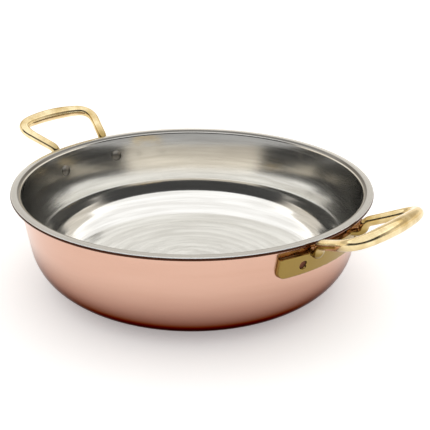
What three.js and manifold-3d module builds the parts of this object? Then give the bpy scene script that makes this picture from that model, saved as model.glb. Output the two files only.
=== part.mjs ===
// Two-handled copper omelette pan: a spun copper body with a bright tin lining,
// and two cast brass loop handles, each held to the wall by a pair of rivets.
// Millimetres, +Z up. The origin is the middle of the base's underside, and the handles lie along X.

import * as THREE from 'three';
import { mergeVertices } from 'three/addons/utils/BufferGeometryUtils.js';
import Module from 'manifold-3d';

// Pan body, measured on the outside of the copper
const RIM_RADIUS = 120;
const PAN_HEIGHT = 66.5;
const WALL_SLOPE = THREE.MathUtils.degToRad(9);
const BASE_CORNER_RADIUS = 34.5;
const LIP_BEND_RADIUS = 0.8;
const LIP_FLAT = 4.2;
const COPPER_THICKNESS = 1.4;

// Lining, which follows the inside of the copper and covers the top of the lip
const LINING_THICKNESS = 0.5;
const LINING_GAP = 0.1;
const LINING_SETBACK = 0.4;

// Handle plate, which is bent to the wall
const PLATE_WIDTH = 82;
const PLATE_HEIGHT = 13.5;
const PLATE_THICKNESS = 3;
const PLATE_TOP_CORNER = 1.2;
const PLATE_BOTTOM_CORNER = 4;
const PLATE_BELOW_RIM = 8;
const SEAT_GAP = 0.3;

// Handle loop: a round bar that goes out below the lip, up past it and outwards, and swells along the grip
const LEG_DIAMETER = 7;
const GRIP_DIAMETER = 9.6;
const GRIP_LENGTH = 104;
const LEG_BELOW_RIM = 8.6;
const LEG_SPACING = 36;
const NECK_BELOW_RIM = 7.6;
const NECK_SPACING = 45;
const NECK_LEAN = THREE.MathUtils.degToRad(12);
const NECK_ROUNDING = 3.4;
const LIP_CLEARANCE = 0.8;
const LOOP_BELOW_RIM = 0.7;
const LOOP_RISE = THREE.MathUtils.degToRad(23.7);
const CORNER_SPACING = 70;
const CORNER_REACH = 32.8;
const CORNER_ROUNDING = 15;
const GRIP_BOW = 6;

// Rivets, with a domed head inside the pan and a countersunk end in the plate
const RIVET_SPACING = 50;
const SHANK_DIAMETER = 4;
const HEAD_DIAMETER = 8;
const HEAD_HEIGHT = 2;
const HEAD_EDGE = 0.5;
const END_DIAMETER = 5.2;
const END_DEPTH = 1.2;
const END_RECESS = 0.8;
const RIVET_FIT = 0.3;

// Fineness of the facets
const ROUND_SEGMENTS = 60;
const RIVET_SEGMENTS = 16;
const BAR_SIDES = 10;
const BAR_STEPS = 72;
const CORNER_STEPS = 6;
const BEND_STEPS = 3;
const EDGE_STEPS = 2;
const PLATE_CORNER_STEPS = 4;
const DOME_STEPS = 4;
const WELD = 1e-4;

const COPPER_FINISH = { color: 0xd89a7c, roughness: 0.32, metalness: 1 };
const LINING_FINISH = { color: 0xc9c7c2, roughness: 0.25, metalness: 1 };
const BRASS_FINISH = { color: 0xc9a75a, roughness: 0.25, metalness: 1 };
const RIVET_FINISH = { color: 0x9a9187, roughness: 0.4, metalness: 1 };

const wasm = await Module();
wasm.setup();

// Closed mesh to solid and back
function toSolid(geometry) {
  const bare = geometry.clone();
  bare.deleteAttribute('normal');
  bare.deleteAttribute('uv');
  const welded = mergeVertices(bare, WELD);
  const corners = welded.index.array;
  const triVerts = [];
  for (let i = 0; i < corners.length; i += 3) {
    const triangle = [corners[i], corners[i + 1], corners[i + 2]];
    if (new Set(triangle).size === 3) triVerts.push(...triangle);
  }
  const vertProperties = Float32Array.from(welded.attributes.position.array);
  return new wasm.Manifold(
    new wasm.Mesh({ numProp: 3, vertProperties, triVerts: Uint32Array.from(triVerts) }),
  );
}

function toGeometry(solid) {
  const mesh = solid.getMesh();
  const geometry = new THREE.BufferGeometry();
  geometry.setAttribute('position', new THREE.BufferAttribute(mesh.vertProperties, 3));
  geometry.setIndex(new THREE.BufferAttribute(mesh.triVerts, 1));
  geometry.computeVertexNormals();
  return geometry;
}

// Points along an arc in a plane of radius and height
function arc(centreX, centreY, radius, from, to, steps) {
  const points = [];
  for (let i = 0; i <= steps; i += 1) {
    const angle = from + ((to - from) * i) / steps;
    const x = centreX + radius * Math.cos(angle);
    points.push(new THREE.Vector2(x, centreY + radius * Math.sin(angle)));
  }
  return points;
}

function turned(profile, segments = ROUND_SEGMENTS) {
  return new THREE.LatheGeometry(profile, segments);
}

function turnedUpright(profile) {
  return turned(profile).rotateX(Math.PI / 2);
}

// Section of the shell: flat base, round corner, leaning wall, bend and flat lip
const shellThickness = COPPER_THICKNESS + LINING_GAP + LINING_THICKNESS;
const lipUnderside = PAN_HEIGHT - shellThickness;
const lipBendX = RIM_RADIUS - LIP_FLAT;
const lipBendZ = lipUnderside - LIP_BEND_RADIUS;
const bends = BASE_CORNER_RADIUS + LIP_BEND_RADIUS;
const slopeSin = Math.sin(WALL_SLOPE);
const slopeCos = Math.cos(WALL_SLOPE);
const wallRun = (lipBendZ - BASE_CORNER_RADIUS + bends * slopeSin) / slopeCos;
const baseFlatRadius = lipBendX - bends * slopeCos - wallRun * slopeSin;
const wallBottom = BASE_CORNER_RADIUS * (1 - slopeSin);
const wallTop = lipBendZ + LIP_BEND_RADIUS * slopeSin;
const wallTopRadius = lipBendX - LIP_BEND_RADIUS * slopeCos;

// Radius of the copper's outer face at a height on the leaning wall
function wallRadius(height) {
  return wallTopRadius - (wallTop - height) * Math.tan(WALL_SLOPE);
}

// Line of the shell at a depth below the copper's outer face, from the axis to the start of the lip
function shellLine(depth) {
  const cornerRadius = BASE_CORNER_RADIUS - depth;
  const bendRadius = LIP_BEND_RADIUS + depth;
  return [
    new THREE.Vector2(0, depth),
    ...arc(baseFlatRadius, BASE_CORNER_RADIUS, cornerRadius, -Math.PI / 2, -WALL_SLOPE, CORNER_STEPS),
    ...arc(lipBendX, lipBendZ, bendRadius, Math.PI - WALL_SLOPE, Math.PI / 2, BEND_STEPS),
  ];
}

// A shell between two depths, with a half-round edge at the end of its lip
function shell(outerDepth, innerDepth, edgeRadius) {
  const edge = (innerDepth - outerDepth) / 2;
  const edgeZ = lipUnderside + outerDepth + edge;
  const lipEdge = arc(edgeRadius - edge, edgeZ, edge, -Math.PI / 2, Math.PI / 2, EDGE_STEPS);
  const profile = [...shellLine(outerDepth), ...lipEdge, ...shellLine(innerDepth).reverse()];
  return toSolid(turnedUpright(profile));
}

// Cone of the wall's outer face, moved outwards by an offset
function wallCone(offset) {
  const step = offset / slopeCos;
  return toSolid(turnedUpright([
    new THREE.Vector2(0, wallBottom),
    new THREE.Vector2(wallRadius(wallBottom) + step, wallBottom),
    new THREE.Vector2(wallRadius(wallTop) + step, wallTop),
    new THREE.Vector2(0, wallTop),
  ]));
}

// Rivets: halfway up the plate, in holes through plate and shell
const plateTop = PAN_HEIGHT - PLATE_BELOW_RIM;
const plateBottom = plateTop - PLATE_HEIGHT;
const rivetHeight = (plateTop + plateBottom) / 2;
const rivetSide = RIVET_SPACING / 2;
const plateFace = SEAT_GAP + PLATE_THICKNESS;
const endTop = plateFace - END_RECESS;
const endBottom = endTop - END_DEPTH;

// A head's flat underside clears the lining's curve at its edge
const insideRadius = wallRadius(rivetHeight) - shellThickness;
const headSag = insideRadius - Math.sqrt(insideRadius ** 2 - (HEAD_DIAMETER / 2) ** 2);
const headFace = -shellThickness - RIVET_FIT - headSag;

// Frame on the wall's outer face whose Y axis points straight out of the wall
function rivetSeat(sideOffset) {
  const radius = wallRadius(rivetHeight);
  const bearing = Math.asin(sideOffset / radius);
  const out = new THREE.Vector3(slopeCos * Math.cos(bearing), slopeCos * Math.sin(bearing), -slopeSin);
  const seat = new THREE.Object3D();
  seat.position.set(radius * Math.cos(bearing), sideOffset, rivetHeight);
  seat.quaternion.setFromUnitVectors(new THREE.Vector3(0, 1, 0), out);
  seat.updateMatrix();
  return seat;
}

function rivetGeometry() {
  const head = HEAD_DIAMETER / 2;
  const shank = SHANK_DIAMETER / 2;
  const rise = HEAD_HEIGHT - HEAD_EDGE;
  const domeRadius = (head * head + rise * rise) / (2 * rise);
  const domeCentre = headFace - HEAD_HEIGHT + domeRadius;
  const domeHalf = Math.asin(head / domeRadius);
  const profile = [
    ...arc(0, domeCentre, domeRadius, -Math.PI / 2, domeHalf - Math.PI / 2, DOME_STEPS),
    new THREE.Vector2(head, headFace),
    new THREE.Vector2(shank, headFace),
    new THREE.Vector2(shank, endBottom),
    new THREE.Vector2(END_DIAMETER / 2, endTop),
    new THREE.Vector2(0, endTop),
  ];
  // The dome starts exactly on the axis
  profile[0].x = 0;
  return toGeometry(toSolid(turned(profile, RIVET_SEGMENTS)));
}

function rivetHole(seat) {
  const shank = SHANK_DIAMETER / 2 + RIVET_FIT;
  const end = END_DIAMETER / 2 + RIVET_FIT;
  const hole = turned([
    new THREE.Vector2(0, headFace - HEAD_HEIGHT),
    new THREE.Vector2(shank, headFace - HEAD_HEIGHT),
    new THREE.Vector2(shank, endBottom),
    new THREE.Vector2(end, endTop),
    new THREE.Vector2(end, plateFace + PLATE_THICKNESS),
    new THREE.Vector2(0, plateFace + PLATE_THICKNESS),
  ], RIVET_SEGMENTS);
  return hole.applyMatrix4(seat.matrix);
}

// Handle plate: a rounded block, cut to the wall's curve in front
function plateSolid() {
  const half = PLATE_WIDTH / 2;
  const low = PLATE_BOTTOM_CORNER;
  const high = PLATE_TOP_CORNER;
  const outline = new THREE.Shape();
  outline.absarc(half - low, plateBottom + low, low, -Math.PI / 2, 0);
  outline.absarc(half - high, plateTop - high, high, 0, Math.PI / 2);
  outline.absarc(high - half, plateTop - high, high, Math.PI / 2, Math.PI);
  outline.absarc(low - half, plateBottom + low, low, Math.PI, 1.5 * Math.PI);
  const innerX = Math.sqrt(wallRadius(plateBottom) ** 2 - half ** 2) - PLATE_THICKNESS;
  const depth = RIM_RADIUS + PLATE_THICKNESS - innerX;
  const block = new THREE.ExtrudeGeometry(outline, {
    depth,
    bevelEnabled: false,
    curveSegments: PLATE_CORNER_STEPS,
  });
  const alongX = new THREE.Matrix4().makeBasis(
    new THREE.Vector3(0, 1, 0),
    new THREE.Vector3(0, 0, 1),
    new THREE.Vector3(1, 0, 0),
  );
  block.applyMatrix4(alongX.setPosition(innerX, 0, 0));
  return toSolid(block).intersect(wallCone(plateFace));
}

// Middle line of the loop: a leg out of the plate, a leaning neck beside the lip, and the loop itself
function loopPath() {
  const legHeight = PAN_HEIGHT - LEG_BELOW_RIM;
  const neckHeight = PAN_HEIGHT - NECK_BELOW_RIM;
  const loopHeight = PAN_HEIGHT - LOOP_BELOW_RIM;
  const wallX = Math.sqrt(wallRadius(legHeight) ** 2 - (LEG_SPACING / 2) ** 2);
  const lipX = Math.sqrt(RIM_RADIUS ** 2 - (NECK_SPACING / 2) ** 2);
  const loopX = lipX + LIP_CLEARANCE + LEG_DIAMETER / 2;
  const neckX = loopX - (loopHeight - neckHeight) * Math.tan(NECK_LEAN);
  const loopPoint = (reach, side) => new THREE.Vector3(
    loopX + reach * Math.cos(LOOP_RISE),
    side,
    loopHeight + reach * Math.sin(LOOP_RISE),
  );
  const half = (hand) => [
    new THREE.Vector3(wallX, (hand * LEG_SPACING) / 2, legHeight),
    new THREE.Vector3(neckX, (hand * NECK_SPACING) / 2, neckHeight),
    loopPoint(0, (hand * NECK_SPACING) / 2),
    loopPoint(CORNER_REACH, (hand * CORNER_SPACING) / 2),
  ];
  const crown = loopPoint(CORNER_REACH + GRIP_BOW, 0);
  const corners = [...half(-1), crown, ...half(1).reverse()];
  const roundings = [0, NECK_ROUNDING, NECK_ROUNDING, CORNER_ROUNDING];
  const towards = (from, goal, length) => goal.clone().sub(from).setLength(length).add(from);

  // Straight runs with a round bend at each corner; the whole grip is one bend over the crown
  const last = corners.length - 1;
  const path = new THREE.CurvePath();
  let place = corners[0];
  for (let i = 1; i < last; i += 1) {
    const corner = corners[i];
    const atCrown = corner === crown;
    const rounding = roundings[Math.min(i, last - i)];
    const bendStart = atCrown ? place : towards(corner, corners[i - 1], rounding);
    const bendEnd = atCrown
      ? towards(corners[i + 1], crown, CORNER_ROUNDING)
      : towards(corner, corners[i + 1], rounding);
    if (place.distanceTo(bendStart) > WELD) path.add(new THREE.LineCurve3(place, bendStart));
    path.add(new THREE.QuadraticBezierCurve3(bendStart, corner, bendEnd));
    place = bendEnd;
  }
  path.add(new THREE.LineCurve3(place, corners[last]));
  return path;
}

// Round bar along the loop, with each ring scaled about the middle line for the grip's swell
function loopSolid() {
  const path = loopPath();
  const section = new THREE.Shape().absarc(0, 0, LEG_DIAMETER / 2, 0, 2 * Math.PI);
  const bar = new THREE.ExtrudeGeometry(section, {
    steps: BAR_STEPS,
    extrudePath: path,
    bevelEnabled: false,
    curveSegments: BAR_SIDES / 2,
  });
  const middles = path.getSpacedPoints(BAR_STEPS);
  const gripHalf = GRIP_LENGTH / path.getLength() / 2;
  const place = bar.attributes.position;
  const point = new THREE.Vector3();
  for (let i = 0; i < place.count; i += 1) {
    point.fromBufferAttribute(place, i);
    const gaps = middles.map((middle) => middle.distanceToSquared(point));
    const ring = gaps.indexOf(Math.min(...gaps));
    const fromCrown = Math.abs(ring / BAR_STEPS - 0.5) / gripHalf;
    const swell = fromCrown < 1 ? Math.cos((fromCrown * Math.PI) / 2) ** 2 : 0;
    const scale = 1 + (GRIP_DIAMETER / LEG_DIAMETER - 1) * swell;
    point.sub(middles[ring]).multiplyScalar(scale).add(middles[ring]);
    place.setXYZ(i, point.x, point.y, point.z);
  }
  return toSolid(bar);
}

// The right-hand handle; the left one is the same casting turned half round
const rivetSeats = { front: rivetSeat(-rivetSide), back: rivetSeat(rivetSide) };
const rightHoles = Object.values(rivetSeats).map(rivetHole);
const leftHoles = rightHoles.map((hole) => hole.clone().rotateZ(Math.PI));

function drilled(solid, holes) {
  return toGeometry(holes.reduce((rest, hole) => rest.subtract(toSolid(hole)), solid));
}

function handleGeometry() {
  const casting = plateSolid().add(loopSolid()).subtract(wallCone(SEAT_GAP));
  return drilled(casting, rightHoles);
}

function piece(name, geometry, finish) {
  const mesh = new THREE.Mesh(geometry, new THREE.MeshStandardMaterial(finish));
  mesh.name = name;
  return mesh;
}

const copper = shell(0, COPPER_THICKNESS, RIM_RADIUS);
const lining = shell(COPPER_THICKNESS + LINING_GAP, shellThickness, RIM_RADIUS - LINING_SETBACK);
const handle = handleGeometry();
const rivet = rivetGeometry();

const shellHoles = [...rightHoles, ...leftHoles];

const pan = new THREE.Group();
pan.add(piece('copper_body', drilled(copper, shellHoles), COPPER_FINISH));
pan.add(piece('tin_lining', drilled(lining, shellHoles), LINING_FINISH));

const sides = [
  { hand: 'right', turn: 0, rivets: { front: rivetSeats.front, back: rivetSeats.back } },
  { hand: 'left', turn: Math.PI, rivets: { front: rivetSeats.back, back: rivetSeats.front } },
];
for (const { hand, turn, rivets } of sides) {
  const side = new THREE.Group();
  side.rotation.z = turn;
  side.add(piece(`${hand}_handle`, handle.clone(), BRASS_FINISH));
  for (const [end, seat] of Object.entries(rivets)) {
    const fixing = piece(`${hand}_handle_${end}_rivet`, rivet.clone(), RIVET_FINISH);
    fixing.position.copy(seat.position);
    fixing.quaternion.copy(seat.quaternion);
    side.add(fixing);
  }
  pan.add(side);
}

export default pan;
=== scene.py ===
import math

import bmesh
import bpy
from mathutils import Matrix, Vector


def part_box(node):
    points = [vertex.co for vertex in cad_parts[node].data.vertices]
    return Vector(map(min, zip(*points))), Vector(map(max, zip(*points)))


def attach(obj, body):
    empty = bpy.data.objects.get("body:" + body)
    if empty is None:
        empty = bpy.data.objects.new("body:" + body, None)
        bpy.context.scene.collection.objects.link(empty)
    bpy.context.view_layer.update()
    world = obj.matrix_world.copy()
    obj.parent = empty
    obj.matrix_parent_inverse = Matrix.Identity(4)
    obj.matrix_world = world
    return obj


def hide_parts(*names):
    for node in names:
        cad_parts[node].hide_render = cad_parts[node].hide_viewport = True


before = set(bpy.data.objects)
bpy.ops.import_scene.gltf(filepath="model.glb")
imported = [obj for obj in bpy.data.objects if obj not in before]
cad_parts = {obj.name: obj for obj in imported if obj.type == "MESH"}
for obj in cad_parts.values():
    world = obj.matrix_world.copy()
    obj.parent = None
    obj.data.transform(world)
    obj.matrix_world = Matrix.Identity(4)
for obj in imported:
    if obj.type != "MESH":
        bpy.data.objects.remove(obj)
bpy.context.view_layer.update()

MM = 0.001

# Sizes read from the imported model
RIM_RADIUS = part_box("copper_body")[1].x
PAN_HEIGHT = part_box("tin_lining")[1].z

# Section of the shell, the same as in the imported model
WALL_SLOPE = math.radians(9)
BASE_CORNER_RADIUS = 34.5 * MM
LIP_BEND_RADIUS = 0.8 * MM
LIP_FLAT = 4.2 * MM
COPPER_THICKNESS = 1.4 * MM
LINING_THICKNESS = 0.5 * MM
LINING_SETBACK = 0.4 * MM
LINING_GAP = 0.1 * MM
SHELL_THICKNESS = COPPER_THICKNESS + LINING_GAP + LINING_THICKNESS
LIP_UNDERSIDE = PAN_HEIGHT - SHELL_THICKNESS
LIP_BEND_X = RIM_RADIUS - LIP_FLAT
LIP_BEND_Z = LIP_UNDERSIDE - LIP_BEND_RADIUS
SLOPE_SIN = math.sin(WALL_SLOPE)
SLOPE_COS = math.cos(WALL_SLOPE)
BENDS = BASE_CORNER_RADIUS + LIP_BEND_RADIUS
WALL_RUN = (LIP_BEND_Z - BASE_CORNER_RADIUS + BENDS * SLOPE_SIN) / SLOPE_COS
BASE_FLAT_RADIUS = LIP_BEND_X - BENDS * SLOPE_COS - WALL_RUN * SLOPE_SIN
WALL_TOP = LIP_BEND_Z + LIP_BEND_RADIUS * SLOPE_SIN
WALL_TOP_RADIUS = LIP_BEND_X - LIP_BEND_RADIUS * SLOPE_COS

# Ripples that spinning leaves in the lining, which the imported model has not
RIPPLE_HEIGHT = 0.08 * MM
RIPPLE_PITCH = 9.5 * MM

# Handle plate and loop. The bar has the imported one's widths in the loop's plane, but is thinner across
# that plane and towards its roots, and bows out a little less
PLATE_WIDTH = 82 * MM
PLATE_HEIGHT = 13.5 * MM
PLATE_TOP_CORNER = 1.2 * MM
PLATE_BOTTOM_CORNER = 4 * MM
PLATE_BELOW_RIM = 8 * MM
PLATE_SEAT = 0.05 * MM
PLATE_FACE = 3.3 * MM
PLATE_TOP = PAN_HEIGHT - PLATE_BELOW_RIM
PLATE_BOTTOM = PLATE_TOP - PLATE_HEIGHT
LEG_WIDTH = 7 * MM
GRIP_WIDTH = 9.6 * MM
GRIP_THICKNESS = 8.8 * MM
GRIP_LENGTH = 104 * MM
ROOT_WIDTH = 4.6 * MM
ROOT_LENGTH = 22 * MM
LEG_BELOW_RIM = 8.6 * MM
LEG_SPACING = 36 * MM
NECK_BELOW_RIM = 7.6 * MM
NECK_SPACING = 45 * MM
NECK_LEAN = math.radians(12)
NECK_ROUNDING = 3.4 * MM
LIP_CLEARANCE = 0.8 * MM
LOOP_BELOW_RIM = 0.7 * MM
LOOP_RISE = math.radians(23.7)
CORNER_SPACING = 70 * MM
CORNER_REACH = 32.8 * MM
CORNER_ROUNDING = 15 * MM
GRIP_BOW = 5.8 * MM

# Rivets
RIVET_HEIGHT = (PLATE_TOP + PLATE_BOTTOM) / 2
RIVET_SIDE = 25 * MM
HEAD_DIAMETER = 8 * MM
HEAD_HEIGHT = 2 * MM
HEAD_EDGE = 0.5 * MM
END_DIAMETER = 5.2 * MM
END_DEPTH = 1.2 * MM
END_RECESS = 0.8 * MM
END_ROUNDING = 0.4 * MM
SHANK_DIAMETER = 4 * MM
HEAD_GAP = 0.11 * MM
HOLE_DIAMETER = 5.8 * MM

# Steps of the meshes
SPIN_RING_RADIUS = 10 * MM
MERGE_DISTANCE = 0.001 * MM
SPIN_STEPS = 240
RIVET_SPIN_STEPS = 40
BEND_STEPS = 10
DOME_STEPS = 16
CORNER_STEPS = 32
RIPPLE_STEPS = 120
PATH_RESOLUTION = 32
BAR_STEP = 0.8 * MM
BAR_SIDES = 48
PLATE_CORNER_STEPS = 8
CONE_SEGMENTS = 720
DRILL_SEGMENTS = 64
CASTING_GRAIN = 0.36 * MM
SOFTEN_FACTOR = 0.5
SOFTEN_ROUNDS = 6

# Tools that cut the casting, with room to spare
CONE_MARGIN = 30 * MM
BLOCK_START = 0.8 * RIM_RADIUS
BLOCK_END = 1.1 * RIM_RADIUS
DRILL_DEPTH = 16 * MM

# Photograph's frame and camera
IMAGE_SIZE = 430
FOCAL_PIXELS = 801
CAMERA_DISTANCE = 540 * MM
CAMERA_AZIMUTH = math.radians(44.5)
CAMERA_ELEVATION = math.radians(20.5)
RIM_PIXEL_X = 193.0
RIM_PIXEL_Y = 180.0
SENSOR_WIDTH = 36

# Studio. Heights and depths in it are parts of a direction's length: up, and away behind the pan
OVERHEAD_WIDTH = 110
OVERHEAD_STRENGTH = 2.4
ROOM_GREY = 0.06
TABLE_GLOW = 0.5
TABLE_GLOW_TOP = 0.06
TABLE_GLOW_END = 0.2
BACKDROP_COLOUR = "#e4ddd2"
BACKDROP_FOOT = 1.5
FOOT_TOP = 0.27
FOOT_END = 0.33
BACKDROP_TOP = 0.5
BACKDROP_END = 0.75
BACKDROP_SIDE_START = -0.3
BACKDROP_SIDE_END = 0.05
PAPER_GLOW = 0.35
FLOOR_RADIUS = 12
FLOOR_SEGMENTS = 64
FLOOR_DROP = 0.05 * MM

# Surface patterns. Lines are drawn wider than the real ones, which are about a tenth of a millimetre
COPPER_LINE = 0.7 * MM
COPPER_BAND = 9 * MM
TIN_LINE = 0.8 * MM
TIN_BAND = 5 * MM
TIN_WAVE = 14 * MM
FLOOR_SATIN_START = 70 * MM
FLOOR_SATIN_END = 100 * MM
LINE_VARIATION = 1.5
# Painted dark reflection on the tin's bend under the lip
BEND_SHADE_START = 2 * MM
BEND_SHADE_END = 1 * MM
BRIGHT_LIP_START = 0.8 * MM
BRIGHT_LIP_END = 0.2 * MM
# Painted shade on the copper: colour and reflection darker towards the base
BASE_SHADE_START = 1 * MM
BASE_SHADE_HEIGHT = 48 * MM
# Painted shade on the copper's lip edge
LIP_EDGE_SHADE_START = 1.2 * MM
LIP_EDGE_SHADE_END = 0.5 * MM
BRASS_PATCH = 14 * MM
BRASS_WAVE = 6 * MM
# Painted shade on the brass, close to the wall and under the lip
WALL_SHADE_START = 3 * MM
WALL_SHADE_END = 14 * MM
LIP_SHADE_HEIGHT = 60 * MM
LIP_SHADE_FADE = 5 * MM
RIVET_DENT = 2 * MM
RIVET_BLEND = 0.5 * MM

MATH = "ShaderNodeMath"


def wall_radius(height):
    """Radius of the copper's outer face at a height on the leaning wall."""
    return WALL_TOP_RADIUS - (WALL_TOP - height) * math.tan(WALL_SLOPE)


def linear(hex_code):
    """Linear colour of an sRGB hex value."""
    channels = [int(hex_code[i:i + 2], 16) / 255 for i in (1, 3, 5)]
    return (*[c / 12.92 if c <= 0.04045 else ((c + 0.055) / 1.055) ** 2.4 for c in channels], 1)


def add(tree, kind, inputs=(), **settings):
    """Adds a node with its settings. Inputs go by name, or in order as a tuple; a list is joined."""
    node = tree.nodes.new(kind)
    for name, value in settings.items():
        setattr(node, name, value)
    for key, value in inputs.items() if isinstance(inputs, dict) else enumerate(inputs):
        goal = node.inputs[key]
        if isinstance(key, str):
            goal = next(s for s in node.inputs if s.enabled and s.name == key)
        for source in value if isinstance(value, list) else [value]:
            if isinstance(source, bpy.types.Node):
                source = next(s for s in source.outputs if s.enabled)
            if isinstance(source, bpy.types.NodeSocket):
                tree.links.new(source, goal)
            else:
                goal.default_value = source
    return node


# Camera, floor and light
def make_camera():
    """The camera fitted to the photograph, aimed so that the rim's middle falls on its pixel."""
    data = bpy.data.cameras.new("photo_camera")
    data.sensor_width = SENSOR_WIDTH
    data.lens = FOCAL_PIXELS * SENSOR_WIDTH / IMAGE_SIZE
    camera = bpy.data.objects.new("photo_camera", data)
    bpy.context.scene.collection.objects.link(camera)
    level = math.cos(CAMERA_ELEVATION)
    back = Vector((
        math.sin(CAMERA_AZIMUTH) * level,
        -math.cos(CAMERA_AZIMUTH) * level,
        math.sin(CAMERA_ELEVATION),
    ))
    place = Vector((0, 0, PAN_HEIGHT)) + back * CAMERA_DISTANCE
    facing = (-back).to_track_quat("-Z", "Y").to_matrix().to_4x4()
    aside = math.atan((RIM_PIXEL_X - IMAGE_SIZE / 2) / FOCAL_PIXELS)
    down = math.atan((RIM_PIXEL_Y - IMAGE_SIZE / 2) / FOCAL_PIXELS)
    aim = Matrix.Rotation(aside, 4, "Y") @ Matrix.Rotation(down, 4, "X")
    camera.matrix_world = Matrix.Translation(place) @ facing @ aim
    bpy.context.scene.camera = camera


def make_floor(material):
    """A wide sheet just below the base, which is not part of the pan."""
    mesh = bpy.data.meshes.new("floor")
    plane = bmesh.new()
    drop = Matrix.Translation((0, 0, -FLOOR_DROP))
    bmesh.ops.create_circle(
        plane, cap_ends=True, radius=FLOOR_RADIUS, segments=FLOOR_SEGMENTS, matrix=drop,
    )
    plane.to_mesh(mesh)
    plane.free()
    mesh.materials.append(material)
    floor = bpy.data.objects.new("floor", mesh)
    bpy.context.scene.collection.objects.link(floor)


def make_light():
    """A wide soft light overhead, a pale backdrop round the back of the pan, brighter at its foot, and a
    dim room in front, lit low down by the white table."""
    data = bpy.data.lights.new("overhead_softbox", "SUN")
    data.angle = math.radians(OVERHEAD_WIDTH)
    data.energy = OVERHEAD_STRENGTH
    light = bpy.data.objects.new("overhead_softbox", data)
    bpy.context.scene.collection.objects.link(light)
    world = bpy.data.worlds.new("studio")
    world.use_nodes = True
    bpy.context.scene.world = world
    tree = world.node_tree
    tree.nodes.clear()
    way = add(tree, "ShaderNodeTexCoord").outputs["Generated"]
    behind = (-math.sin(CAMERA_AZIMUTH), math.cos(CAMERA_AZIMUTH), 0)
    depth = add(tree, "ShaderNodeVectorMath", (way, behind), operation="DOT_PRODUCT")
    height = add(tree, "ShaderNodeSeparateXYZ", (way,)).outputs["Z"]
    room = add(tree, "ShaderNodeMapRange", {
        "Value": height, "From Min": TABLE_GLOW_TOP, "From Max": TABLE_GLOW_END,
        "To Min": TABLE_GLOW, "To Max": ROOM_GREY,
    }, interpolation_type="SMOOTHSTEP")
    rise = add(tree, "ShaderNodeMapRange", {
        "Value": height, "From Min": BACKDROP_TOP, "From Max": BACKDROP_END,
    }, interpolation_type="SMOOTHSTEP")
    foot = add(tree, "ShaderNodeMapRange", {
        "Value": height, "From Min": FOOT_TOP, "From Max": FOOT_END, "To Min": BACKDROP_FOOT, "To Max": 1.0,
    }, interpolation_type="SMOOTHSTEP")
    sweep = add(tree, "ShaderNodeVectorMath", {
        "Vector": linear(BACKDROP_COLOUR)[:3], "Scale": foot,
    }, operation="SCALE")
    backdrop = add(tree, "ShaderNodeMix", {
        "Factor": rise, "A": sweep, "B": room,
    }, data_type="RGBA")
    behind_pan = add(tree, "ShaderNodeMapRange", {
        "Value": depth, "From Min": BACKDROP_SIDE_START, "From Max": BACKDROP_SIDE_END,
    }, interpolation_type="SMOOTHSTEP")
    shade = add(tree, "ShaderNodeMix", {
        "Factor": behind_pan, "A": room, "B": backdrop,
    }, data_type="RGBA")
    background = add(tree, "ShaderNodeBackground", {"Color": shade})
    add(tree, "ShaderNodeOutputWorld", {"Surface": background})


# Materials
def new_material(name):
    """An empty material and its node tree."""
    material = bpy.data.materials.new(name)
    material.use_nodes = True
    material.node_tree.nodes.clear()
    return material, material.node_tree


def section_coordinates(tree):
    """A point's place, and its radius, height and level direction from the pan's axis."""
    place = add(tree, "ShaderNodeTexCoord").outputs["Object"]
    level = add(tree, "ShaderNodeVectorMath", (place, (1, 1, 0)), operation="MULTIPLY")
    radius = add(tree, "ShaderNodeVectorMath", (level,), operation="LENGTH")
    height = add(tree, "ShaderNodeSeparateXYZ", (place,)).outputs["Z"]
    way = add(tree, "ShaderNodeVectorMath", (level,), operation="NORMALIZE")
    return place, radius, height, way


def turning_lines(tree, radius, height, way, width, detail):
    """Lines round the axis: noise that changes fast along the section and slowly round the pan."""
    along = add(tree, MATH, (radius, height), operation="ADD")
    steps = add(tree, MATH, (along, width), operation="DIVIDE")
    spread = add(tree, "ShaderNodeVectorMath", {"Vector": way, "Scale": LINE_VARIATION}, operation="SCALE")
    lift = add(tree, "ShaderNodeCombineXYZ", {"Z": steps})
    spot = add(tree, "ShaderNodeVectorMath", (spread, lift), operation="ADD")
    return add(tree, "ShaderNodeTexNoise", {
        "Vector": spot, "Scale": 1.0, "Detail": detail, "Roughness": 0.6,
    })


def off_wall(tree, radius, height):
    """Level distance of a point outside the line of the wall, plus the wall's radius at height zero."""
    return add(tree, MATH, (height, -math.tan(WALL_SLOPE), radius), operation="MULTIPLY_ADD")


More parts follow.
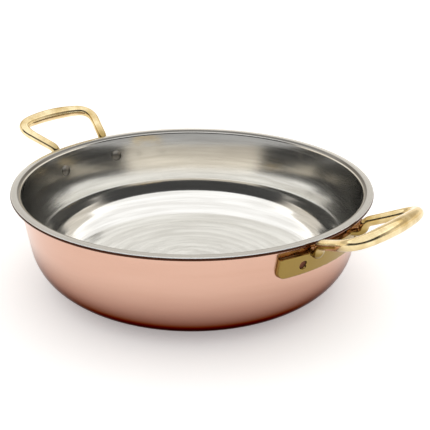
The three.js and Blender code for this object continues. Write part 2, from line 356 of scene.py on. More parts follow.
def spun_copper():
    """Pink copper, spun and satin polished: fine lines round the wall spread its highlights upright,
    painted shade darkens its colour and reflection towards the base, and painted shade darkens the lip's
    edge."""
    material, tree = new_material("spun_copper_satin")
    place, radius, height, way = section_coordinates(tree)
    fine = turning_lines(tree, radius, height, way, COPPER_LINE, 3.0)
    broad = turning_lines(tree, radius, height, way, COPPER_BAND, 2.0)
    # Painted shade: the copper's colour darkens towards the base
    base_shade = add(tree, "ShaderNodeMapRange", {
        "Value": height, "From Min": BASE_SHADE_START, "From Max": BASE_SHADE_HEIGHT, "To Min": 1.0, "To Max": 0.0,
    }, interpolation_type="SMOOTHSTEP")
    # Painted shade: a dark brown band on the lip's copper edge
    edge = add(tree, "ShaderNodeMapRange", {
        "Value": radius,
        "From Min": RIM_RADIUS - LIP_EDGE_SHADE_START, "From Max": RIM_RADIUS - LIP_EDGE_SHADE_END,
    }, interpolation_type="SMOOTHSTEP")
    colour = add(tree, "ShaderNodeMix", {
        "Factor": broad, "A": linear("#dcb5a2"), "B": linear("#d3a894"),
    }, data_type="RGBA")
    colour = add(tree, "ShaderNodeMix", {
        "Factor": base_shade, "A": colour, "B": linear("#6b2a14"),
    }, data_type="RGBA")
    colour = add(tree, "ShaderNodeMix", {
        "Factor": edge, "A": colour, "B": linear("#4f2f20"),
    }, data_type="RGBA")
    shader = add(tree, "ShaderNodeBsdfPrincipled", {
        "Base Color": colour,
        # Painted shade in the reflection, darker towards the base
        "Specular Tint": add(tree, "ShaderNodeMix", {
            "Factor": base_shade, "A": linear("#ffffff"), "B": linear("#5a2814"),
        }, data_type="RGBA"),
        "Metallic": 1.0,
        "Roughness": add(tree, "ShaderNodeMapRange", {"Value": fine, "To Min": 0.14, "To Max": 0.22}),
        "Normal": add(tree, "ShaderNodeBump", {"Height": fine, "Strength": 0.04, "Distance": 0.03 * MM}),
        "Anisotropic": 0.5,
        "Tangent": add(tree, "ShaderNodeVectorMath", ((0, 0, 1), place), operation="CROSS_PRODUCT"),
    })
    add(tree, "ShaderNodeOutputMaterial", {"Surface": shader})
    return material


def bright_tin():
    """Bright tin, wiped while the pan turned: a warm grey mirror, a little wavy, with turning rings,
    more satin on the floor, and a painted dark reflection where the lip bends out."""
    material, tree = new_material("bright_spun_tin")
    place, radius, height, way = section_coordinates(tree)
    fine = turning_lines(tree, radius, height, way, TIN_LINE, 3.0)
    broad = turning_lines(tree, radius, height, way, TIN_BAND, 2.0)
    rings = add(tree, "ShaderNodeMapRange", {"Value": broad, "From Min": 0.35, "From Max": 0.65})
    # Painted reflection: the bend below the lip is coloured dark grey
    bend = add(tree, "ShaderNodeMapRange", {
        "Value": radius,
        "From Min": WALL_TOP_RADIUS - BEND_SHADE_START, "From Max": WALL_TOP_RADIUS - BEND_SHADE_END,
    }, interpolation_type="SMOOTHSTEP")
    lip = add(tree, "ShaderNodeMapRange", {
        "Value": radius,
        "From Min": LIP_BEND_X - BRIGHT_LIP_START, "From Max": LIP_BEND_X + BRIGHT_LIP_END,
    }, interpolation_type="SMOOTHSTEP")
    colour = add(tree, "ShaderNodeMix", {
        "Factor": rings, "A": linear("#efeeea"), "B": linear("#dcdad5"),
    }, data_type="RGBA")
    colour = add(tree, "ShaderNodeMix", {
        "Factor": bend, "A": colour, "B": linear("#6f6c67"),
    }, data_type="RGBA")
    colour = add(tree, "ShaderNodeMix", {
        "Factor": lip, "A": colour, "B": linear("#d4d5d5"),
    }, data_type="RGBA")
    satin = add(tree, "ShaderNodeMapRange", {
        "Value": radius, "From Min": FLOOR_SATIN_START, "From Max": FLOOR_SATIN_END,
        "To Min": 0.06, "To Max": 0.0,
    }, interpolation_type="SMOOTHSTEP")
    gloss = add(tree, "ShaderNodeMapRange", {"Value": fine, "To Min": 0.07, "To Max": 0.2})
    wipes = add(tree, "ShaderNodeTexNoise", {
        "Vector": place, "Scale": 1 / TIN_WAVE, "Detail": 2.0, "Roughness": 0.5,
    })
    wavy = add(tree, "ShaderNodeBump", {"Height": wipes, "Strength": 0.3, "Distance": 0.1 * MM})
    shader = add(tree, "ShaderNodeBsdfPrincipled", {
        "Base Color": colour,
        "Metallic": 1.0,
        "Roughness": add(tree, MATH, (gloss, satin), operation="ADD"),
        "Normal": add(tree, "ShaderNodeBump", {
            "Height": fine, "Strength": 0.1, "Distance": 0.03 * MM, "Normal": wavy,
        }),
        "Anisotropic": 0.5,
        "Tangent": add(tree, "ShaderNodeVectorMath", ((0, 0, 1), place), operation="CROSS_PRODUCT"),
    })
    add(tree, "ShaderNodeOutputMaterial", {"Surface": shader})
    return material


def cast_brass():
    """Cast brass, polished by hand: soft waves in its shine, olive patches, and a painted brown shade
    on the plate, close to the wall and under the lip."""
    material, tree = new_material("polished_cast_brass")
    place, radius, height, _ = section_coordinates(tree)
    patches = add(tree, "ShaderNodeTexNoise", {
        "Vector": place, "Scale": 1 / BRASS_PATCH, "Detail": 3.0, "Roughness": 0.55,
    })
    waves = add(tree, "ShaderNodeTexNoise", {
        "Vector": place, "Scale": 1 / BRASS_WAVE, "Detail": 2.0, "Roughness": 0.4,
    })
    # Painted shade: brass close to the wall is coloured darker brown
    wall_shade = add(tree, "ShaderNodeMapRange", {
        "Value": off_wall(tree, radius, height),
        "From Min": wall_radius(0) + WALL_SHADE_START, "From Max": wall_radius(0) + WALL_SHADE_END,
        "To Min": 1.0, "To Max": 0.0,
    }, interpolation_type="SMOOTHSTEP")
    # Painted shade: brass below the lip is coloured darker brown
    low = add(tree, "ShaderNodeMapRange", {
        "Value": height, "From Min": LIP_SHADE_HEIGHT, "From Max": LIP_SHADE_HEIGHT + LIP_SHADE_FADE,
        "To Min": 1.0, "To Max": 0.0,
    }, interpolation_type="SMOOTHSTEP")
    olive = add(tree, "ShaderNodeMapRange", {"Value": patches, "From Min": 0.35, "From Max": 0.7})
    colour = add(tree, "ShaderNodeMix", {
        "Factor": olive, "A": linear("#f1dfb4"), "B": linear("#bfa162"),
    }, data_type="RGBA")
    colour = add(tree, "ShaderNodeMix", {
        "Factor": add(tree, MATH, (wall_shade, low), operation="MAXIMUM"), "A": colour, "B": linear("#957d45"),
    }, data_type="RGBA")
    shader = add(tree, "ShaderNodeBsdfPrincipled", {
        "Base Color": colour,
        "Metallic": 1.0,
        "Roughness": add(tree, "ShaderNodeMapRange", {"Value": patches, "To Min": 0.06, "To Max": 0.22}),
        "Normal": add(tree, "ShaderNodeBump", {"Height": waves, "Strength": 0.35, "Distance": 0.12 * MM}),
    })
    add(tree, "ShaderNodeOutputMaterial", {"Surface": shader})
    return material


def tinned_copper():
    """Copper rivets, tinned with the lining on their heads: grey inside the pan; outside, dark brown, partly
    the copper's own tone and partly painted shade of their recess.
    """
    material, tree = new_material("tinned_copper_rivet")
    place, radius, height, _ = section_coordinates(tree)
    dents = add(tree, "ShaderNodeTexNoise", {
        "Vector": place, "Scale": 1 / RIVET_DENT, "Detail": 2.0, "Roughness": 0.5,
    })
    # Outside the wall: dark brown, partly the copper's own oxide and partly painted shade of the recess
    outside = add(tree, "ShaderNodeMapRange", {
        "Value": off_wall(tree, radius, height),
        "From Min": wall_radius(0) - RIVET_BLEND, "From Max": wall_radius(0) + RIVET_BLEND,
    })
    tin = add(tree, "ShaderNodeMix", {
        "Factor": dents, "A": linear("#918d86"), "B": linear("#6a665f"),
    }, data_type="RGBA")
    copper = add(tree, "ShaderNodeMix", {
        "Factor": dents, "A": linear("#7a4a34"), "B": linear("#3a2118"),
    }, data_type="RGBA")
    shader = add(tree, "ShaderNodeBsdfPrincipled", {
        "Base Color": add(tree, "ShaderNodeMix", {
            "Factor": outside, "A": tin, "B": copper,
        }, data_type="RGBA"),
        "Metallic": 1.0,
        "Roughness": add(tree, "ShaderNodeMapRange", {"Value": dents, "To Min": 0.28, "To Max": 0.5}),
        "Normal": add(tree, "ShaderNodeBump", {"Height": dents, "Strength": 0.3, "Distance": 0.1 * MM}),
    })
    add(tree, "ShaderNodeOutputMaterial", {"Surface": shader})
    return material


def pale_paper():
    """Matt white paper on a light table, with the faintest cloud in its tone. It is clear from below,
    so that the underside of the pan can be seen."""
    material, tree = new_material("matt_paper_floor")
    place = add(tree, "ShaderNodeTexCoord").outputs["Object"]
    cloud = add(tree, "ShaderNodeTexNoise", {"Vector": place, "Scale": 2.0, "Detail": 2.0})
    colour = add(tree, "ShaderNodeMix", {
        "Factor": cloud, "A": linear("#f6f6f5"), "B": linear("#f1f1f0"),
    }, data_type="RGBA")
    shader = add(tree, "ShaderNodeBsdfPrincipled", {
        "Base Color": colour,
        "Roughness": 0.8,
        "Emission Color": linear("#ffffff"),
        "Emission Strength": PAPER_GLOW,
    })
    below = add(tree, "ShaderNodeNewGeometry").outputs["Backfacing"]
    sheet = add(tree, "ShaderNodeMixShader", (below, shader, add(tree, "ShaderNodeBsdfTransparent")))
    add(tree, "ShaderNodeOutputMaterial", {"Surface": sheet})
    return material


COPPER = spun_copper()
LINING = bright_tin()
BRASS = cast_brass()
RIVET = tinned_copper()
FLOOR = pale_paper()


# Geometry Nodes trees
def node_tree(name, sizes):
    """A tree with a geometry input and output, and a named input for each size."""
    tree = bpy.data.node_groups.new(name, "GeometryNodeTree")
    tree.interface.new_socket("Geometry", in_out="INPUT", socket_type="NodeSocketGeometry")
    for label, kind in sizes.items():
        tree.interface.new_socket(label, in_out="INPUT", socket_type="NodeSocket" + kind)
    tree.interface.new_socket("Geometry", in_out="OUTPUT", socket_type="NodeSocketGeometry")
    return tree, add(tree, "NodeGroupInput").outputs


def grow(name, data, tree, values):
    """Runs a tree on an object's data and gives the result back as a plain mesh."""
    maker = bpy.data.objects.new(name, data)
    bpy.context.scene.collection.objects.link(maker)
    modifier = maker.modifiers.new("making", "NODES")
    modifier.node_group = tree
    for item in tree.interface.items_tree:
        if item.in_out == "INPUT" and item.name in values:
            modifier[item.identifier] = values[item.name]
    seen = maker.evaluated_get(bpy.context.evaluated_depsgraph_get())
    mesh = bpy.data.meshes.new_from_object(seen)
    bpy.data.objects.remove(maker)
    return mesh


def spin_group():
    """Spins a section, drawn from the bottom up with X as its radius and Y as its height, round Z."""
    tree, given = node_tree("spin_section", {"Steps": "Int"})
    ring = add(tree, "GeometryNodeCurvePrimitiveCircle", {
        "Resolution": given["Steps"], "Radius": SPIN_RING_RADIUS,
    })
    section = add(tree, "GeometryNodeTransform", {
        "Geometry": given["Geometry"],
        "Translation": (-SPIN_RING_RADIUS, 0, 0),
        "Rotation": (math.pi, 0, 0),
    })
    spun = add(tree, "GeometryNodeCurveToMesh", {"Curve": ring, "Profile Curve": section})
    closed = add(tree, "GeometryNodeMergeByDistance", {"Geometry": spun, "Distance": MERGE_DISTANCE})
    outward = add(tree, "GeometryNodeFlipFaces", {"Mesh": closed})
    smooth = add(tree, "GeometryNodeSetShadeSmooth", {"Geometry": outward})
    add(tree, "NodeGroupOutput", {"Geometry": smooth})
    return tree


SPIN = spin_group()


def bend_points(tree, centre, radius, start, sweep, steps, ripple=None):
    """Points of one bend in a section, with shallow ripples across it where asked."""
    bend = add(tree, "GeometryNodeCurveArc", {
        "Resolution": steps, "Radius": radius, "Start Angle": start, "Sweep Angle": sweep,
    }, mode="RADIUS")
    if ripple:
        place = add(tree, "GeometryNodeInputPosition")
        outward = add(tree, "ShaderNodeVectorMath", (place,), operation="NORMALIZE")
        offset = add(tree, "ShaderNodeVectorMath", {"Vector": outward, "Scale": ripple}, operation="SCALE")
        bend = add(tree, "GeometryNodeSetPosition", {"Geometry": bend, "Offset": offset})
    moved = add(tree, "GeometryNodeTransform", {"Geometry": bend, "Translation": centre})
    return add(tree, "GeometryNodeCurveToPoints", {"Curve": moved}, mode="EVALUATED")


def point_at(tree, radius, height):
    """One point of a section."""
    place = add(tree, "ShaderNodeCombineXYZ", {"X": radius, "Y": height})
    return add(tree, "GeometryNodePoints", {"Count": 1, "Position": place})


def floor_points(tree, given, corner_radius, corner_angle):
    """Points of the floor from the corner to the axis. The corner's ripples run on and die out there."""
    start = add(tree, "ShaderNodeCombineXYZ", {"X": given["Base flat radius"], "Y": given["Inner depth"]})
    end = add(tree, "ShaderNodeCombineXYZ", {"Y": given["Inner depth"]})
    line = add(tree, "GeometryNodeCurvePrimitiveLine", {"Start": start, "End": end})
    line = add(tree, "GeometryNodeResampleCurve", {"Curve": line, "Count": given["Corner steps"]})
    along = add(tree, "GeometryNodeSplineParameter")
    run = add(tree, MATH, (corner_radius, corner_angle, along.outputs["Length"]), operation="MULTIPLY_ADD")
    turns = add(tree, MATH, (run, given["Ripple pitch"]), operation="DIVIDE")
    phase = add(tree, MATH, (turns, 2 * math.pi), operation="MULTIPLY")
    wave = add(tree, MATH, (phase,), operation="SINE")
    fade = add(tree, MATH, (along.outputs["Factor"], 1), operation="SUBTRACT")
    ripple = add(tree, MATH, (wave, given["Ripple height"]), operation="MULTIPLY")
    drop = add(tree, "ShaderNodeCombineXYZ", {"Y": add(tree, MATH, (ripple, fade), operation="MULTIPLY")})
    waved = add(tree, "GeometryNodeSetPosition", {"Geometry": line, "Offset": drop})
    return add(tree, "GeometryNodeCurveToPoints", {"Curve": waved}, mode="EVALUATED")


def spin_points(tree, points, steps):
    """Joins a section's points in order and spins them. Links made later are joined first."""
    joined = add(tree, "GeometryNodeJoinGeometry", {"Geometry": points[::-1]})
    section = add(tree, "GeometryNodePointsToCurves", {"Points": joined})
    return add(tree, "GeometryNodeGroup", {"Geometry": section, "Steps": steps}, node_tree=SPIN)


def finish_tree(tree, geometry, material):
    """Ends a tree with real faces and a material."""
    whole = add(tree, "GeometryNodeRealizeInstances", {"Geometry": geometry})
    finished = add(tree, "GeometryNodeSetMaterial", {"Geometry": whole, "Material": material})
    add(tree, "NodeGroupOutput", {"Geometry": finished})


def shell_tree():
    """A spun shell between two depths below the copper's outer face."""
    tree, given = node_tree("spun_shell", {
        "Base flat radius": "Float",
        "Base corner radius": "Float",
        "Wall slope": "Float",
        "Lip bend radius": "Float",
        "Lip bend centre": "Vector",
        "Lip edge radius": "Float",
        "Outer depth": "Float",
        "Inner depth": "Float",
        "Ripple height": "Float",
        "Ripple pitch": "Float",
        "Corner steps": "Int",
        "Spin steps": "Int",
        "Material": "Material",
    })
    corner = add(tree, "ShaderNodeCombineXYZ", {
        "X": given["Base flat radius"], "Y": given["Base corner radius"],
    })
    lip_centre = given["Lip bend centre"]
    upright = add(tree, MATH, (math.pi / 2, given["Wall slope"]), operation="SUBTRACT")
    downright = add(tree, MATH, (upright, -1), operation="MULTIPLY")
    lean = add(tree, MATH, (given["Wall slope"], -1), operation="MULTIPLY")
    lip_start = add(tree, MATH, (math.pi, lean), operation="ADD")

    outer_corner = add(tree, MATH, (given["Base corner radius"], given["Outer depth"]), operation="SUBTRACT")
    outer_bend = add(tree, MATH, (given["Lip bend radius"], given["Outer depth"]), operation="ADD")
    outer = [
        point_at(tree, 0.0, given["Outer depth"]),
        bend_points(tree, corner, outer_corner, -math.pi / 2, upright, given["Corner steps"]),
        bend_points(tree, lip_centre, outer_bend, lip_start, downright, BEND_STEPS),
    ]

    along = add(tree, "GeometryNodeSplineParameter").outputs["Length"]
    turns = add(tree, MATH, (along, given["Ripple pitch"]), operation="DIVIDE")
    phase = add(tree, MATH, (turns, 2 * math.pi), operation="MULTIPLY")
    wave = add(tree, MATH, (phase,), operation="SINE")
    ripple = add(tree, MATH, (wave, given["Ripple height"]), operation="MULTIPLY")
    inner_corner = add(tree, MATH, (given["Base corner radius"], given["Inner depth"]), operation="SUBTRACT")
    inner_bend = add(tree, MATH, (given["Lip bend radius"], given["Inner depth"]), operation="ADD")
    inner = [
        bend_points(tree, lip_centre, inner_bend, math.pi / 2, upright, BEND_STEPS),
        bend_points(tree, corner, inner_corner, lean, downright, given["Corner steps"], ripple),
        floor_points(tree, given, inner_corner, upright),
    ]

    half = add(tree, MATH, (given["Inner depth"], given["Outer depth"]), operation="SUBTRACT")
    half = add(tree, MATH, (half, 0.5), operation="MULTIPLY")
    bend_height = add(tree, "ShaderNodeSeparateXYZ", {"Vector": lip_centre}).outputs["Y"]
    edge_bottom = add(tree, MATH, (bend_height, outer_bend), operation="ADD")
    edge_height = add(tree, MATH, (edge_bottom, half), operation="ADD")
    edge_centre = add(tree, "ShaderNodeCombineXYZ", {
        "X": add(tree, MATH, (given["Lip edge radius"], half), operation="SUBTRACT"), "Y": edge_height,
    })
    edge = bend_points(tree, edge_centre, half, -math.pi / 2, math.pi, BEND_STEPS)
    spun = spin_points(tree, [*outer, edge, *inner], given["Spin steps"])
    finish_tree(tree, spun, given["Material"])
    return tree


def rivet_tree():
    """Turned rivets seated on the wall at the points given, with their heads inside the pan."""
    tree, given = node_tree("wall_rivets", {
        "Wall slope": "Float",
        "Head radius": "Float",
        "Head height": "Float",
        "Head edge": "Float",
        "Head seat": "Float",
        "Shank radius": "Float",
        "End radius": "Float",
        "End bottom": "Float",
        "End top": "Float",
        "End rounding": "Float",
        "Spin steps": "Int",
        "Material": "Material",
    })
    rise = add(tree, MATH, (given["Head height"], given["Head edge"]), operation="SUBTRACT")
    radius_square = add(tree, MATH, (given["Head radius"], 2), operation="POWER")
    rise_square = add(tree, MATH, (rise, 2), operation="POWER")
    squares = add(tree, MATH, (radius_square, rise_square), operation="ADD")
    twice_rise = add(tree, MATH, (rise, 2), operation="MULTIPLY")
    dome = add(tree, MATH, (squares, twice_rise), operation="DIVIDE")
    sine = add(tree, MATH, (given["Head radius"], dome), operation="DIVIDE")
    sweep = add(tree, MATH, (sine,), operation="ARCSINE")
    seat = add(tree, MATH, (given["Head seat"], -1), operation="MULTIPLY")
    crown = add(tree, MATH, (seat, given["Head height"]), operation="SUBTRACT")
    dome_centre = add(tree, "ShaderNodeCombineXYZ", {"Y": add(tree, MATH, (crown, dome), operation="ADD")})
    rounding_centre = add(tree, "ShaderNodeCombineXYZ", {
        "X": add(tree, MATH, (given["End radius"], given["End rounding"]), operation="SUBTRACT"),
        "Y": add(tree, MATH, (given["End top"], given["End rounding"]), operation="SUBTRACT"),
    })
    section = [
        bend_points(tree, dome_centre, dome, -math.pi / 2, sweep, DOME_STEPS),
        point_at(tree, given["Head radius"], seat),
        point_at(tree, given["Shank radius"], seat),
        point_at(tree, given["Shank radius"], given["End bottom"]),
        point_at(tree, given["End radius"], given["End bottom"]),
        bend_points(tree, rounding_centre, given["End rounding"], 0.0, math.pi / 2, BEND_STEPS),
        point_at(tree, 0.0, given["End top"]),
    ]
    rivet = spin_points(tree, section, given["Spin steps"])
    place = add(tree, "ShaderNodeSeparateXYZ", {"Vector": add(tree, "GeometryNodeInputPosition")})
    level = add(tree, "ShaderNodeCombineXYZ", {"X": place.outputs["X"], "Y": place.outputs["Y"]})
    level = add(tree, "ShaderNodeVectorMath", (level,), operation="NORMALIZE")
    slope = add(tree, MATH, (given["Wall slope"],), operation="TANGENT")
    drop = add(tree, "ShaderNodeCombineXYZ", {"Z": add(tree, MATH, (slope, -1), operation="MULTIPLY")})
    outward = add(tree, "ShaderNodeVectorMath", (level, drop), operation="ADD")
    turn = add(tree, "FunctionNodeAlignRotationToVector", {"Vector": outward}, axis="Z")
    seats = add(tree, "GeometryNodeMeshToPoints", {"Mesh": given["Geometry"]})
    seated = add(tree, "GeometryNodeInstanceOnPoints", {
        "Points": seats, "Instance": rivet, "Rotation": turn,
    })
    finish_tree(tree, seated, given["Material"])
    return tree


def loop_tree():
    """An oval bar along a path: widest in the loop's plane and over the grip, thinner towards its roots."""
    tree, given = node_tree("cast_loop", {
        "Leg width": "Float",
        "Grip width": "Float",
        "Grip length": "Float",
        "Root width": "Float",
        "Root length": "Float",
        "Loop normal": "Vector",
        "Flattening": "Float",
        "Step": "Float",
        "Sides": "Int",
        "Material": "Material",
    })
    path = add(tree, "GeometryNodeResampleCurve", {
        "Curve": given["Geometry"], "Length": given["Step"],
    }, mode="LENGTH")
    along = add(tree, "GeometryNodeSplineParameter").outputs["Length"]
    whole = add(tree, "GeometryNodeCurveLength", {"Curve": path})
    middle = add(tree, MATH, (whole, 0.5), operation="MULTIPLY")
    past_middle = add(tree, MATH, (along, middle), operation="SUBTRACT")
    off_middle = add(tree, MATH, (past_middle,), operation="ABSOLUTE")
    share = add(tree, MATH, (off_middle, given["Grip length"]), operation="DIVIDE")
    share = add(tree, MATH, (share, 0.5), operation="MINIMUM")
    angle = add(tree, MATH, (share, math.pi), operation="MULTIPLY")
    cosine = add(tree, MATH, (angle,), operation="COSINE")
    swell = add(tree, MATH, (cosine, 2), operation="POWER")
    grip = add(tree, MATH, (given["Grip width"], given["Leg width"]), operation="SUBTRACT")
    from_root = add(tree, MATH, (middle, off_middle), operation="SUBTRACT")
    root_share = add(tree, MATH, (from_root, given["Root length"]), operation="DIVIDE")
    near_root = add(tree, MATH, (1, root_share), operation="SUBTRACT")
    near_root = add(tree, MATH, (near_root, 0), operation="MAXIMUM")
    taper = add(tree, MATH, (near_root, 2), operation="POWER")
    root = add(tree, MATH, (given["Root width"], given["Leg width"]), operation="SUBTRACT")
    width = add(tree, MATH, (swell, grip, given["Leg width"]), operation="MULTIPLY_ADD")
    width = add(tree, MATH, (taper, root, width), operation="MULTIPLY_ADD")
    circle = add(tree, "GeometryNodeCurvePrimitiveCircle", {"Resolution": given["Sides"], "Radius": 0.5})
    position = add(tree, "GeometryNodeInputPosition")
    path = add(tree, "GeometryNodeStoreNamedAttribute", {
        "Geometry": path, "Name": "middle_line", "Value": position,
    }, data_type="FLOAT_VECTOR", domain="POINT")
    bar = add(tree, "GeometryNodeCurveToMesh", {
        "Curve": path, "Profile Curve": circle, "Scale": width, "Fill Caps": True,
    })
    line = add(tree, "GeometryNodeInputNamedAttribute", {"Name": "middle_line"}, data_type="FLOAT_VECTOR")
    off_line = add(tree, "ShaderNodeVectorMath", (position, line), operation="SUBTRACT")
    off_plane = add(tree, "ShaderNodeVectorMath", (off_line, given["Loop normal"]), operation="DOT_PRODUCT")
    press = add(tree, MATH, (off_plane, given["Flattening"]), operation="MULTIPLY")
    offset = add(tree, "ShaderNodeVectorMath", {
        "Vector": given["Loop normal"], "Scale": press,
    }, operation="SCALE")
    bar = add(tree, "GeometryNodeSetPosition", {"Geometry": bar, "Offset": offset})
    finish_tree(tree, bar, given["Material"])
    return tree


# Pieces
def piece(name, mesh, slot, *nodes):
    """Puts a finished mesh in the scene in place of its CAD nodes."""
    made = bpy.data.objects.new(name, mesh)
    bpy.context.scene.collection.objects.link(made)
    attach(made, "root")
    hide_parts(*nodes)


SHELL = shell_tree()
RIVETS = rivet_tree()
LOOP = loop_tree()
SHELL_SIZES = {
    "Base flat radius": BASE_FLAT_RADIUS,
    "Base corner radius": BASE_CORNER_RADIUS,
    "Wall slope": WALL_SLOPE,
    "Lip bend radius": LIP_BEND_RADIUS,
    "Lip bend centre": (LIP_BEND_X, LIP_BEND_Z, 0),
    "Spin steps": SPIN_STEPS,
}


def make_shells():
    """The copper shell and the tin skin inside it."""
    copper = grow("copper_shell", bpy.data.meshes.new("empty"), SHELL, {
        **SHELL_SIZES,
        "Lip edge radius": RIM_RADIUS,
        "Outer depth": 0.0,
        "Inner depth": COPPER_THICKNESS,
        "Ripple height": 0.0,
        "Ripple pitch": RIPPLE_PITCH,
        "Corner steps": CORNER_STEPS,
        "Material": COPPER,
    })
    piece("copper_shell", copper, "copper", "copper_body")
    lining = grow("tin_skin", bpy.data.meshes.new("empty"), SHELL, {
        **SHELL_SIZES,
        "Lip edge radius": RIM_RADIUS - LINING_SETBACK,
        "Outer depth": SHELL_THICKNESS - LINING_THICKNESS,
        "Inner depth": SHELL_THICKNESS,
        "Ripple height": RIPPLE_HEIGHT,
        "Ripple pitch": RIPPLE_PITCH,
        "Corner steps": RIPPLE_STEPS,
        "Material": LINING,
    })
    piece("tin_skin", lining, "lining", "tin_lining")


def make_rivets():
    """The four rivets as one piece. Their seats lie on the copper's outer face."""
    wall = wall_radius(RIVET_HEIGHT)
    reach = math.sqrt(wall ** 2 - RIVET_SIDE ** 2)
    seats = bpy.data.meshes.new("rivet_seats")
    seats.from_pydata([
        (end * reach, side * RIVET_SIDE, RIVET_HEIGHT) for end in (1, -1) for side in (-1, 1)
    ], [], [])
    end_top = PLATE_FACE - END_RECESS
    mesh = grow("rivets", seats, RIVETS, {
        "Wall slope": WALL_SLOPE,
        "Head radius": HEAD_DIAMETER / 2,
        "Head height": HEAD_HEIGHT,
        "Head edge": HEAD_EDGE,
        "Head seat": SHELL_THICKNESS + HEAD_GAP,
        "Shank radius": SHANK_DIAMETER / 2,
        "End radius": END_DIAMETER / 2,
        "End bottom": end_top - END_DEPTH,
        "End top": end_top,
        "End rounding": END_ROUNDING,
        "Spin steps": RIVET_SPIN_STEPS,
        "Material": RIVET,
    })
    nodes = [f"{end}_handle_{side}_rivet" for end in ("right", "left") for side in ("front", "back")]
    piece("rivets", mesh, "rivet", *nodes)


def loop_path():
    """Path of the right handle's loop: leg, neck beside the lip, loop, and back the same way."""
    leg_side, neck_side = LEG_SPACING / 2, NECK_SPACING / 2
    leg_height = PAN_HEIGHT - LEG_BELOW_RIM
    neck_height = PAN_HEIGHT - NECK_BELOW_RIM
    loop_height = PAN_HEIGHT - LOOP_BELOW_RIM
    wall_x = math.sqrt(wall_radius(leg_height) ** 2 - leg_side ** 2)
    loop_x = math.sqrt(RIM_RADIUS ** 2 - neck_side ** 2) + LIP_CLEARANCE + LEG_WIDTH / 2
    neck_x = loop_x - (loop_height - neck_height) * math.tan(NECK_LEAN)
    outward = Vector((math.cos(LOOP_RISE), 0, math.sin(LOOP_RISE)))
    start = Vector((loop_x, 0, loop_height))
    crown = start + outward * (CORNER_REACH + GRIP_BOW)
    bends = [
        Vector((wall_x, -leg_side, leg_height)),
        Vector((neck_x, -neck_side, neck_height)),
        start - Vector((0, neck_side, 0)),
        start + outward * CORNER_REACH - Vector((0, CORNER_SPACING / 2, 0)),
        crown,
    ]
    points = [bends[0]]
    controls = []
    for i, rounding in enumerate((NECK_ROUNDING, NECK_ROUNDING, CORNER_ROUNDING), 1):
        bend_start = bends[i] + (bends[i - 1] - bends[i]).normalized() * rounding
        bend_end = bends[i] + (bends[i + 1] - bends[i]).normalized() * rounding
        controls += [(points[-1] + bend_start) / 2, bends[i]]
        points += [bend_start, bend_end]
    across = Matrix.Scale(-1, 3, (0, 1, 0))
    points += [across @ point for point in reversed(points)]
    controls += [crown] + [across @ control for control in reversed(controls)]
    path = bpy.data.curves.new("loop_path", "CURVE")
    path.dimensions = "3D"
    path.resolution_u = PATH_RESOLUTION
    spline = path.splines.new("BEZIER")
    spline.bezier_points.add(len(points) - 1)
    for i, (knot, point) in enumerate(zip(spline.bezier_points, points)):
        before = controls[max(i - 1, 0)]
        after = controls[min(i, len(controls) - 1)]
        knot.co = point
        knot.handle_left_type = knot.handle_right_type = "FREE"
        knot.handle_left = point.lerp(before, 2 / 3)
        knot.handle_right = point.lerp(after, 2 / 3)
    return path


def plate_outline():
    """The plate's outline as side and height, with its four corners rounded."""
    corners = [
        (1, PLATE_TOP, PLATE_TOP_CORNER, 0),
        (-1, PLATE_TOP, PLATE_TOP_CORNER, 90),
        (-1, PLATE_BOTTOM, PLATE_BOTTOM_CORNER, 180),
        (1, PLATE_BOTTOM, PLATE_BOTTOM_CORNER, 270),
    ]
    outline = []
    for side, height, radius, start in corners:
        inward = -1 if height == PLATE_TOP else 1
        for step in range(PLATE_CORNER_STEPS + 1):
            angle = math.radians(start + 90 * step / PLATE_CORNER_STEPS)
            outline.append((
                side * (PLATE_WIDTH / 2 - radius) + radius * math.cos(angle),
                height + inward * radius + radius * math.sin(angle),
            ))
    return outline


def solid(name, mesh):
    """A mesh in the scene, for the booleans."""
    made = bpy.data.objects.new(name, mesh)
    bpy.context.scene.collection.objects.link(made)
    return made


def cut(target, tool, operation):
    """Applies one boolean between two objects and removes the tool."""
    modifier = target.modifiers.new("cut", "BOOLEAN")
    modifier.object = tool
    modifier.operation = operation
    modifier.solver = "EXACT"
    seen = target.evaluated_get(bpy.context.evaluated_depsgraph_get())
    mesh = bpy.data.meshes.new_from_object(seen)
    target.modifiers.clear()
    target.data = mesh
    bpy.data.objects.remove(tool)


def wall_cone(offset):
    """A solid cone up to a distance outside the wall, past both edges of the plate."""
    mesh = bpy.data.meshes.new("wall_cone")
    form = bmesh.new()
    out = offset / SLOPE_COS
    low, high = PLATE_BOTTOM - CONE_MARGIN, PLATE_TOP + CONE_MARGIN
    bmesh.ops.create_cone(
        form, cap_ends=True, segments=CONE_SEGMENTS, depth=high - low,
        radius1=wall_radius(low) + out, radius2=wall_radius(high) + out,
        matrix=Matrix.Translation((0, 0, (low + high) / 2)),
    )
    form.to_mesh(mesh)
    form.free()
    return solid("wall_cone", mesh)


def plate_block():
    """The plate's outline drawn out through the wall."""
    mesh = bpy.data.meshes.new("plate_block")
    form = bmesh.new()
    corners = [form.verts.new((BLOCK_START, side, height)) for side, height in plate_outline()]
    face = form.faces.new(corners)
    drawn = bmesh.ops.extrude_face_region(form, geom=[face])
    moved = [v for v in drawn["geom"] if isinstance(v, bmesh.types.BMVert)]
    bmesh.ops.translate(form, verts=moved, vec=(BLOCK_END - BLOCK_START, 0, 0))
    bmesh.ops.recalc_face_normals(form, faces=form.faces)
    form.to_mesh(mesh)
    form.free()
    return solid("plate_block", mesh)


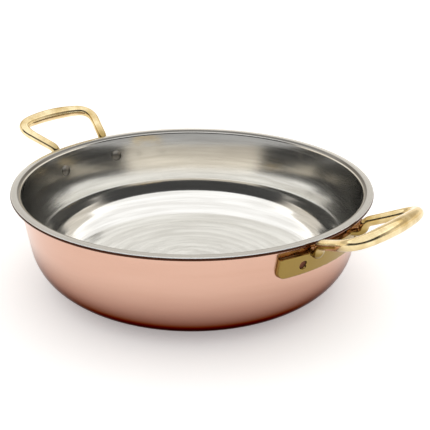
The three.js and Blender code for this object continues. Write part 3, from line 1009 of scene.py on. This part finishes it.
def rivet_drill(side):
    """A drill through the plate on a rivet's axis."""
    mesh = bpy.data.meshes.new("rivet_drill")
    form = bmesh.new()
    wall = wall_radius(RIVET_HEIGHT)
    seat = Vector((math.sqrt(wall ** 2 - RIVET_SIDE ** 2), side * RIVET_SIDE, RIVET_HEIGHT))
    outward = Vector((seat.x / wall * SLOPE_COS, seat.y / wall * SLOPE_COS, -SLOPE_SIN))
    turn = outward.to_track_quat("Z", "Y").to_matrix().to_4x4()
    bmesh.ops.create_cone(
        form, cap_ends=True, segments=DRILL_SEGMENTS, depth=DRILL_DEPTH,
        radius1=HOLE_DIAMETER / 2, radius2=HOLE_DIAMETER / 2,
        matrix=Matrix.Translation(seat) @ turn,
    )
    form.to_mesh(mesh)
    form.free()
    return solid("rivet_drill", mesh)


def make_handles():
    """Both handles: a plate and a loop cast in one, the left one turned half round."""
    bar = grow("loop_bar", loop_path(), LOOP, {
        "Leg width": LEG_WIDTH,
        "Grip width": GRIP_WIDTH,
        "Grip length": GRIP_LENGTH,
        "Root width": ROOT_WIDTH,
        "Root length": ROOT_LENGTH,
        "Loop normal": (-math.sin(LOOP_RISE), 0, math.cos(LOOP_RISE)),
        "Flattening": GRIP_THICKNESS / GRIP_WIDTH - 1,
        "Step": BAR_STEP,
        "Sides": BAR_SIDES,
        "Material": BRASS,
    })
    handle = plate_block()
    cut(handle, wall_cone(PLATE_FACE), "INTERSECT")
    cut(handle, solid("loop_bar", bar), "UNION")
    cut(handle, wall_cone(PLATE_SEAT), "DIFFERENCE")
    remesh = handle.modifiers.new("casting", "REMESH")
    remesh.mode = "VOXEL"
    remesh.voxel_size = CASTING_GRAIN
    soften = handle.modifiers.new("soften", "SMOOTH")
    soften.factor = SOFTEN_FACTOR
    soften.iterations = SOFTEN_ROUNDS
    seen = handle.evaluated_get(bpy.context.evaluated_depsgraph_get())
    cast = bpy.data.meshes.new_from_object(seen)
    handle.modifiers.clear()
    handle.data = cast
    for side in (-1, 1):
        cut(handle, rivet_drill(side), "DIFFERENCE")
    right = handle.data
    bpy.data.objects.remove(handle)
    right.materials.clear()
    right.materials.append(BRASS)
    right.shade_smooth()
    left = right.copy()
    left.transform(Matrix.Rotation(math.pi, 4, "Z"))
    piece("right_loop_handle", right, "brass", "right_handle")
    piece("left_loop_handle", left, "brass", "left_handle")


# Scene
make_camera()
make_light()
make_floor(FLOOR)
make_shells()
make_rivets()
make_handles()
bpy.context.scene.view_settings.view_transform = "Standard"
